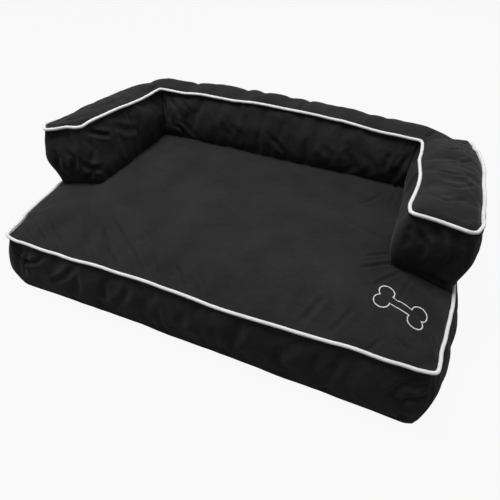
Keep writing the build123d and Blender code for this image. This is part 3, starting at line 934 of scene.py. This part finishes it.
def piping_fabric():
    """White bias tape over a cord: diagonal threads, and small creases across it on the bends."""
    n = material("piping_fabric", Sheen_Weight=0.15, Sheen_Roughness=0.5, Specular_IOR_Level=0.3)
    uv = n.place("UV")
    u, v = n.add("SeparateXYZ", uv).outputs[:2]
    wave = 2 * math.pi / 0.0008
    one, two = (n.math("SINE", n.math("MULTIPLY", n.math(way, u, v), wave)) for way in ("ADD", "SUBTRACT"))
    threads = n.math("MULTIPLY", one, two)
    creases = n.noise(uv, 260, 2.0, (1.0, 0.22, 1.0))
    n.colour(n.noise(uv, 40, 3.0), 0.35, (0.80, 0.80, 0.795), 0.65, (0.90, 0.90, 0.895))
    n.roughness(threads, -1.0, 1.0, 0.78, 0.92)
    return n.finished(creases, 0.0006, 0.5, n.bump(threads, 0.00008, 0.6))


def plain_woven(name, dark, light, pitch, lump=0.0005):
    """Plainly woven cloth, such as a bag or a zip's tape."""
    n = material(name, Sheen_Weight=0.1)
    place = n.place()
    weave = n.weave(pitch)
    tone = n.math("MULTIPLY_ADD", n.noise(place, 90, 3.0), 0.8, n.math("MULTIPLY", weave, 0.12))
    n.colour(tone, 0.2, dark, 0.62, light)
    n.roughness(weave, -1.0, 1.0, 0.77, 0.93)
    return n.finished(n.noise(place, 220, 3.0), lump, 0.4, n.bump(weave, 0.00015, 0.8))


def fibre_fill():
    """Loose white fibre, matted in tufts."""
    n = material("fibre", Roughness=0.95, Sheen_Weight=0.4)
    place = n.place()
    tufts = n.noise(place, 70, 5.0)
    hairs = n.noise(place, 900, 4.0, (1.0, 5.0, 3.0))
    tone = n.math("MULTIPLY_ADD", tufts, 0.6, n.math("MULTIPLY", hairs, 0.4))
    n.colour(tone, 0.3, (0.72, 0.72, 0.70), 0.7, (0.93, 0.93, 0.91))
    n.roughness(hairs, 0.2, 0.8, 0.85, 1.0)
    return n.finished(hairs, 0.0006, 0.8, n.bump(tufts, 0.004, 0.8))


def moulded_teeth():
    """Black plastic with the faint flow marks of moulding."""
    n = material("zip_teeth", Roughness=0.45)
    marks = n.noise(n.place(), 700, 3.0)
    n.colour(marks, 0.35, (0.020, 0.020, 0.021), 0.65, (0.032, 0.032, 0.034))
    n.roughness(marks, 0.3, 0.7, 0.38, 0.56)
    return n.finished(marks, 0.00008, 0.4)


def painted_metal():
    """Cast metal under black paint, rubbed thin in places."""
    n = material("zip_metal", Metallic=0.25, Roughness=0.35)
    place = n.place()
    pits = n.noise(place, 1100, 4.0)
    wear = n.noise(place, 260, 4.0)
    n.colour(wear, 0.45, (0.045, 0.045, 0.047), 0.72, (0.12, 0.12, 0.125))
    n.roughness(wear, 0.3, 0.7, 0.28, 0.46)
    return n.finished(pits, 0.00008, 0.5)


def thread(name, dark, light):
    """Twisted, slightly shiny sewing thread."""
    n = material(name, Roughness=0.5, Sheen_Weight=0.3, Sheen_Roughness=0.35)
    place = n.place()
    ply = n.noise(place, 2600, 3.0, (1.0, 1.6, 1.0))
    n.colour(n.noise(place, 300, 3.0), 0.35, dark, 0.65, light)
    n.roughness(ply, 0.3, 0.7, 0.42, 0.62)
    return n.finished(ply, 0.00010, 0.7)


white_thread = thread("white_thread", (0.74, 0.74, 0.74), (0.90, 0.90, 0.90))
black_thread = thread("black_thread", (0.016, 0.016, 0.017), (0.035, 0.035, 0.036))
cover = brushed_fabric("cover_fabric", (0.0096, 0.0096, 0.0100), (0.0206, 0.0206, 0.0213), 0.07)
# A lit copy of the cover for the inner back, its colours painted lighter: painted light, for the light that
# falls on that wall
painted_light_cover = brushed_fabric("cover_fabric_back", (0.0118, 0.0118, 0.0123), (0.0253, 0.0253, 0.0262), 0.09)
underside = plain_woven("underside_fabric", (0.012, 0.012, 0.0125), (0.026, 0.026, 0.027), 0.0016)
piping_cloth = piping_fabric()
bag_cloth = plain_woven("liner_fabric", (0.66, 0.66, 0.64), (0.84, 0.84, 0.82), 0.0014, lump=0.0012)
fibre = fibre_fill()
tape_cloth = plain_woven("zip_tape", (0.010, 0.010, 0.011), (0.024, 0.024, 0.025), 0.0009)
teeth_plastic = moulded_teeth()
metal = painted_metal()


# Panels, piping, stitches and bags


def use(piece, cloth, slot, *nodes):
    piece.data.materials.clear()
    piece.data.materials.append(cloth)
    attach(piece, "bed")
    if nodes:
        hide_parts(*nodes)
    return piece


def tube(name, path, out, radius, sides=14):
    """A closed tube on a ring of points, with its length and its girth as its UVs, in metres."""
    count = len(path)
    way = unit(ring_ways(path))
    side = unit(out - (out * way).sum(axis=1)[:, None] * way)
    up = np.cross(way, side)
    points = []
    for k in range(sides):
        angle = 2 * math.pi * k / sides
        points.append(path + radius * (math.cos(angle) * side + math.sin(angle) * up))
    faces = []
    for k in range(count):
        after = (k + 1) % count
        for s in range(sides):
            t = (s + 1) % sides
            faces.append((k * sides + s, after * sides + s, after * sides + t, k * sides + t))
    piece = made(name, np.array(points).transpose(1, 0, 2).reshape(-1, 3), faces)
    at = along_ring(path)
    girth = 2 * math.pi * radius / sides
    layer = piece.data.uv_layers.new(name="UVMap")
    for number in range(len(faces)):
        k, s = divmod(number, sides)
        corners = ((at[k], s), (at[k + 1], s), (at[k + 1], s + 1), (at[k], s + 1))
        for c, (u, v) in enumerate(corners):
            layer.data[number * 4 + c].uv = (u, v * girth)
    return piece


def smoothed(ring, times):
    for _ in range(times):
        ring = (np.roll(ring, 1, axis=0) + 2 * ring + np.roll(ring, -1, axis=0)) / 4
    return ring


def piping(skin):
    """The cord's tube, set on the top seam and wandering a little up and down."""
    ring = skin.points[skin.top_seam()]
    out = np.zeros_like(ring)
    out[:, :2] = outward(smoothed(ring, 2)[:, :2])
    out = unit(smoothed(out, 3))
    path = smoothed(ring, 2) + out * PIPING_OUT + np.array([0, 0, PIPING_UP])
    at = along_ring(path)[:-1]
    path[:, 2] += sum(
        PIPING_WANDER * np.sin(2 * math.pi * (k * at / at[-1]) + phase) / (1 + k / 14)
        for k, phase in zip(range(7, 40, 3), rng.uniform(0, 6.28, 11))
    )
    return tube(f"sewn_{skin.name}_piping", path, out, PIPING_RADIUS)


def slot_rim(piece, name):
    """Turns the edges of a zip's slot inwards."""
    mesh = bmesh.new()
    mesh.from_mesh(piece.data)
    rim = []
    for edge in mesh.edges:
        if edge.is_boundary:
            c = (edge.verts[0].co + edge.verts[1].co) / 2
            if abs(c.x) < ZIP_HALF_X + RIM_NEAR and abs(c.z - ZIP_Z[name]) < ZIP_HALF_Z + RIM_NEAR:
                rim.append(edge)
    for v in bmesh.ops.extrude_edge_only(mesh, edges=rim)["geom"]:
        if isinstance(v, bmesh.types.BMVert):
            v.co.y = ZIP_FACE_Y[name] - RIM_DEPTH
    mesh.normal_update()
    mesh.to_mesh(piece.data)
    mesh.free()


BAG_SLACK = 0.0015


def shrunk(skin, cover_tree, name, depth, cuts):
    """A closed form a depth under the cover, smoothed, and closed again where planes cut it."""
    normals = skin.normals()
    points = skin.points - normals * depth
    for _ in range(2):
        total, degree = np.zeros_like(points), np.zeros(len(points))
        for k in range(4):
            a, b = skin.faces[:, k], skin.faces[:, (k + 1) % 4]
            np.add.at(total, a, points[b])
            np.add.at(degree, a, 1)
        points = 0.5 * points + 0.5 * total / degree[:, None]
    for _ in range(3):
        for k, (p, out) in enumerate(zip(points, normals)):
            hit, normal, _, away = cover_tree.find_nearest(Vector(p))
            way = np.array(hit) - p
            ahead = way @ out
            inside = ahead > 0 if abs(ahead) > 0.5 * away else way @ np.array(normal) > 0
            if not inside or away < depth - BAG_SLACK:
                way = way / max(away, 1e-6) * (1 if inside else -1)
                points[k] = np.array(hit) - way * depth
    piece = made(name, points, skin.faces.tolist())
    work = bmesh.new()
    work.from_mesh(piece.data)
    for place, way in cuts:
        parts = work.verts[:] + work.edges[:] + work.faces[:]
        cut = bmesh.ops.bisect_plane(work, geom=parts, plane_co=place, plane_no=way, clear_outer=True)
        edges = [e for e in cut["geom_cut"] if isinstance(e, bmesh.types.BMEdge)]
        bmesh.ops.holes_fill(work, edges=edges, sides=0)
    work.to_mesh(piece.data)
    work.free()
    smooth(piece.data)
    return piece


def on_surface(tree, point, way, lift):
    """The surface's point found from a point along a direction, and its normal."""
    hit, normal, _, _ = tree.ray_cast(Vector(point) - way * 0.2, way)
    if hit is None:
        return None
    if normal.dot(way) > 0:
        normal = -normal
    return np.array(hit + normal * lift), np.array(normal)


def stitches(name, pairs, radius, arch):
    """Threads from place to place over the cloth, each arched and tucked in at its ends."""
    points, faces = [], []
    for (a, up_a), (b, up_b) in pairs:
        way = b - a
        length = np.linalg.norm(way)
        if length < 1e-5:
            continue
        up = (up_a + up_b) / 2
        side = np.cross(way / length, up)
        side /= np.linalg.norm(side)
        first = len(points)
        for t, lift in ((0, -0.7), (0.2, 0.55), (0.5, 1.0), (0.8, 0.55), (1, -0.7)):
            centre = a + way * t + up * (lift * arch)
            thick = radius * (0.75 if lift < 0 else 1.0)
            for k in range(6):
                angle = 2 * math.pi * k / 6
                points.append(centre + thick * (math.cos(angle) * side + math.sin(angle) * up))
        for low in range(first, first + 24, 6):
            for k in range(6):
                after = (k + 1) % 6
                faces.append((low + k, low + 6 + k, low + 6 + after, low + after))
        faces.append(tuple(first + k for k in reversed(range(6))))
        faces.append(tuple(first + 24 + k for k in range(6)))
    return made(name, points, faces)


def even(path, step, closed=False):
    """A path in even steps."""
    path = np.array(path)
    if closed:
        path = np.vstack([path, path[:1]])
    at = np.concatenate([[0], np.cumsum(np.linalg.norm(np.diff(path, axis=0), axis=1))])
    count = max(2, round(at[-1] / step))
    marks = np.linspace(0, at[-1], count + 1)
    if closed:
        marks = marks[:-1]
    return np.stack([np.interp(marks, at, path[:, k]) for k in range(path.shape[1])], axis=1)


# A plain bone, embroidered in white on the base's front right corner
BONE_PLACE = (401, 306)
BONE_END, BONE_SIDE, BONE_LOBE, BONE_SHAFT = 0.0285, 0.0105, 0.0125, 0.0072
BONE_TURN = math.radians(-14)
BONE_STEP, BONE_WIDTH, BONE_THREAD, BONE_ARCH, BONE_LIFT = 0.00052, 0.0019, 0.00026, 0.00030, 0.00008


def bone_outline():
    start = 180 + math.degrees(math.asin((BONE_SIDE - BONE_SHAFT) / BONE_LOBE))
    notch = -math.degrees(math.asin(BONE_SIDE / BONE_LOBE))
    half = []
    for angle in np.radians(np.linspace(start, notch, 26)):
        half.append((BONE_END + BONE_LOBE * math.cos(angle), BONE_SIDE + BONE_LOBE * math.sin(angle)))
    half += [(x, -y) for x, y in reversed(half[:-1])]
    return half + [(-x, -y) for x, y in half]


def bone():
    tree = base_skin.tree("top")
    centre = seen_on(tree, *BONE_PLACE)[0]
    turn = np.array([[math.cos(BONE_TURN), -math.sin(BONE_TURN)], [math.sin(BONE_TURN), math.cos(BONE_TURN)]])
    path = even(bone_outline(), BONE_STEP, closed=True) @ turn.T + np.array(centre)[:2]
    way = unit(ring_ways(path))
    across = np.stack([way[:, 1], -way[:, 0]], axis=1)
    pairs = []
    for place, along, side in zip(path, way, across):
        half = BONE_WIDTH / 2 * rng.uniform(0.88, 1.08)
        slant = along * rng.uniform(0.00005, 0.00030)
        ends = [place - side * half - slant, place + side * half + slant]
        found = [on_surface(tree, (*end, 0.2), Vector((0, 0, -1)), BONE_LIFT) for end in ends]
        if None not in found:
            pairs.append(found)
    return stitches("bone_embroidery", pairs, BONE_THREAD, BONE_ARCH)


# Running stitches round a zip's slot, and a bar of threads that joins the tapes past each stop
STITCH_OUT, STITCH_STEP, STITCH_LENGTH, STITCH_RADIUS, STITCH_LIFT = 0.0032, 0.0018, 1.45, 0.00028, 0.0001
BAR_START, BAR_END, BAR_STEP = 0.1938, 0.2045, 0.0005
BAR_HALF = 0.0062
TAPE_TOP_Y = {"base": 0.2765, "bolster": 0.2764}


def slot_stitches(skin):
    tree = skin.tree(ZIP_WALL[skin.name], "slot")
    z = ZIP_Z[skin.name]
    x, h = ZIP_HALF_X + STITCH_OUT, ZIP_HALF_Z + STITCH_OUT
    corners = [(-x, z - h), (x, z - h), (x, z + h), (-x, z + h)]
    pairs = []
    for a, b in zip(corners, corners[1:] + corners[:1]):
        marks = even([a, b], STITCH_STEP)
        for k in range(0, len(marks) - 2, 2):
            ends = marks[k], marks[k] + (marks[k + 1] - marks[k]) * STITCH_LENGTH
            found = [on_surface(tree, (p[0], 0.3, p[1]), Vector((0, -1, 0)), STITCH_LIFT) for p in ends]
            if None not in found:
                pairs.append(found)
    for s in (-1, 1):
        for x in np.arange(BAR_START, BAR_END, BAR_STEP):
            ends = [np.array([s * x, TAPE_TOP_Y[skin.name], z + end * BAR_HALF]) for end in (-1, 1)]
            pairs.append([(end, np.array([0, 1, 0])) for end in ends])
    return stitches(f"{skin.name}_zip_stitches", pairs, STITCH_RADIUS, STITCH_RADIUS)


for skin in (base_skin, bolster_skin):
    for tag in ("top", *WALLS[skin.name], "bottom"):
        node = f"{skin.name}_{tag}_{'panel' if tag in ('top', 'bottom') else 'boxing'}"
        piece = skin.panel("sewn_" + node, tag)
        if tag == ZIP_WALL[skin.name]:
            slot_rim(piece, skin.name)
        # The inner back gets the lit copy of the cover, painted lighter: painted light
        cloth = {"bottom": underside, "inner_back": painted_light_cover}.get(tag, cover)
        use(piece, cloth, "underside_fabric" if tag == "bottom" else "cover_fabric", node)

use(piping(base_skin), piping_cloth, "piping_fabric", "base_piping")
use(piping(bolster_skin), piping_cloth, "piping_fabric", "bolster_piping")

use(bone(), white_thread, "piping_fabric")
use(slot_stitches(base_skin), black_thread, "cover_fabric")
use(slot_stitches(bolster_skin), black_thread, "cover_fabric")

# Bags of fibre, one in the base and one in each arm and in the back: the depth under the cover, the
# distance from the planes between back and arms, what they are made of, and the name of their slot
BAG = (0.008, 0.0010, bag_cloth, "liner_fabric")
STUFFING = (0.011, 0.0030, fibre, "fibre")
CENTRE = Vector((0, 0, 0))


def corner_plane(s, gap, turn):
    """Beside the upright plane through the arm's inner and the bed's outer corner."""
    inner, outer = Vector((s * ARM_INNER_X, BACK_INNER_Y, 0)), Vector((s * HALF, REAR_Y, 0))
    along = (outer - inner).normalized()
    across = Vector((-s * along.y, s * along.x, 0)) * turn
    return inner - across * gap, across


base_tree, bolster_tree = base_skin.tree(), bolster_skin.tree()


def bag(core, tree, name, node, kind, cuts=()):
    depth, _, cloth, slot = kind
    piece = use(shrunk(core, tree, name, depth, cuts), cloth, slot, f"{core.name}_{node}")


bag(base_core, base_tree, "base_bag", "liner", BAG)
bag(base_core, base_tree, "base_stuffing", "fibre_fill", STUFFING)
for name, node, kind in (("bag", "liner", BAG), ("stuffing", "fill", STUFFING)):
    gap = kind[1]
    for part, s in (("left", -1), ("right", 1)):
        cuts = [corner_plane(s, gap, 1), (CENTRE, Vector((-s, 0, 0)))]
        bag(bolster_core, bolster_tree, f"{part}_arm_{name}", f"{part}_{node}", kind, cuts)
    cuts = [corner_plane(s, gap, -1) for s in (-1, 1)]
    bag(bolster_core, bolster_tree, f"back_{name}", f"back_{node}", kind, cuts)

for o in [o for o in bpy.data.objects if o.type == "MESH" and "zip" in o.name]:
    kind = tape_cloth if "tape" in o.name else teeth_plastic if "teeth" in o.name else metal
    for slot in o.material_slots:
        slot.material = kind

# Floor, light and the rest. The floor is nearly white to the camera and grey to the bed
floor = made("floor", [(-6, -6, 0), (6, -6, 0), (6, 6, 0), (-6, 6, 0)], [(0, 1, 2, 3)])
n = material("floor", Roughness=0.9, Base_Color=(0.26, 0.26, 0.26, 1))
rays = n.add("LightPath")
glow = n.add("Emission", (1, 1, 1, 1), 1.0)
white = n.math("MULTIPLY", rays.outputs["Is Camera Ray"], 0.93)
mixer = n.add("MixShader", white, n.shader.outputs[0], glow.outputs[0])
n.tree.links.new(mixer.outputs[0], n.tree.nodes["Material Output"].inputs[0])
floor.data.materials.append(n.owner)

# The world is white where it is seen, and lights mostly from above
DOME_FROM, DOME_TO = (0.15, 0.95), (0.03, 0.48)
world = bpy.data.worlds.new("world")
bpy.context.scene.world = world
w = Nodes(world, "Background", Color=(1, 1, 1, 1))
up = w.add("SeparateXYZ", w.place("Generated")).outputs[2]
dome = w.add("MapRange", up, *DOME_FROM, *DOME_TO).outputs[0]
rays = w.add("LightPath").outputs
seen = w.math("MAXIMUM", rays["Is Camera Ray"], rays["Is Transmission Ray"])
w.link(w.add("Mix", seen, None, dome, 1.0).outputs[0], "Strength")

# Lamps: name, place, the point they face, diameter and watts
for name, place, aim, size, power in (
    ("key", (-0.35, -0.15, 1.9), (0, 0, 0.1), 0.8, 26),
    ("rear", (0.3, 2.4, 1.0), (0, 0.2, 0.15), 1.6, 8),
    ("left", (-2.4, 0.5, 0.9), (-0.3, 0.1, 0.15), 1.5, 5),
    ("right", (2.4, 0.5, 0.8), (0.3, 0.1, 0.15), 1.5, 3),
):
    data = bpy.data.lights.new(name, "AREA")
    data.shape, data.size, data.energy = "DISK", size, power
    lamp = linked(name, data)
    lamp.location = place
    lamp.rotation_euler = (Vector(aim) - Vector(place)).to_track_quat("-Z", "Y").to_euler()

bpy.context.scene.view_settings.view_transform = "Standard"
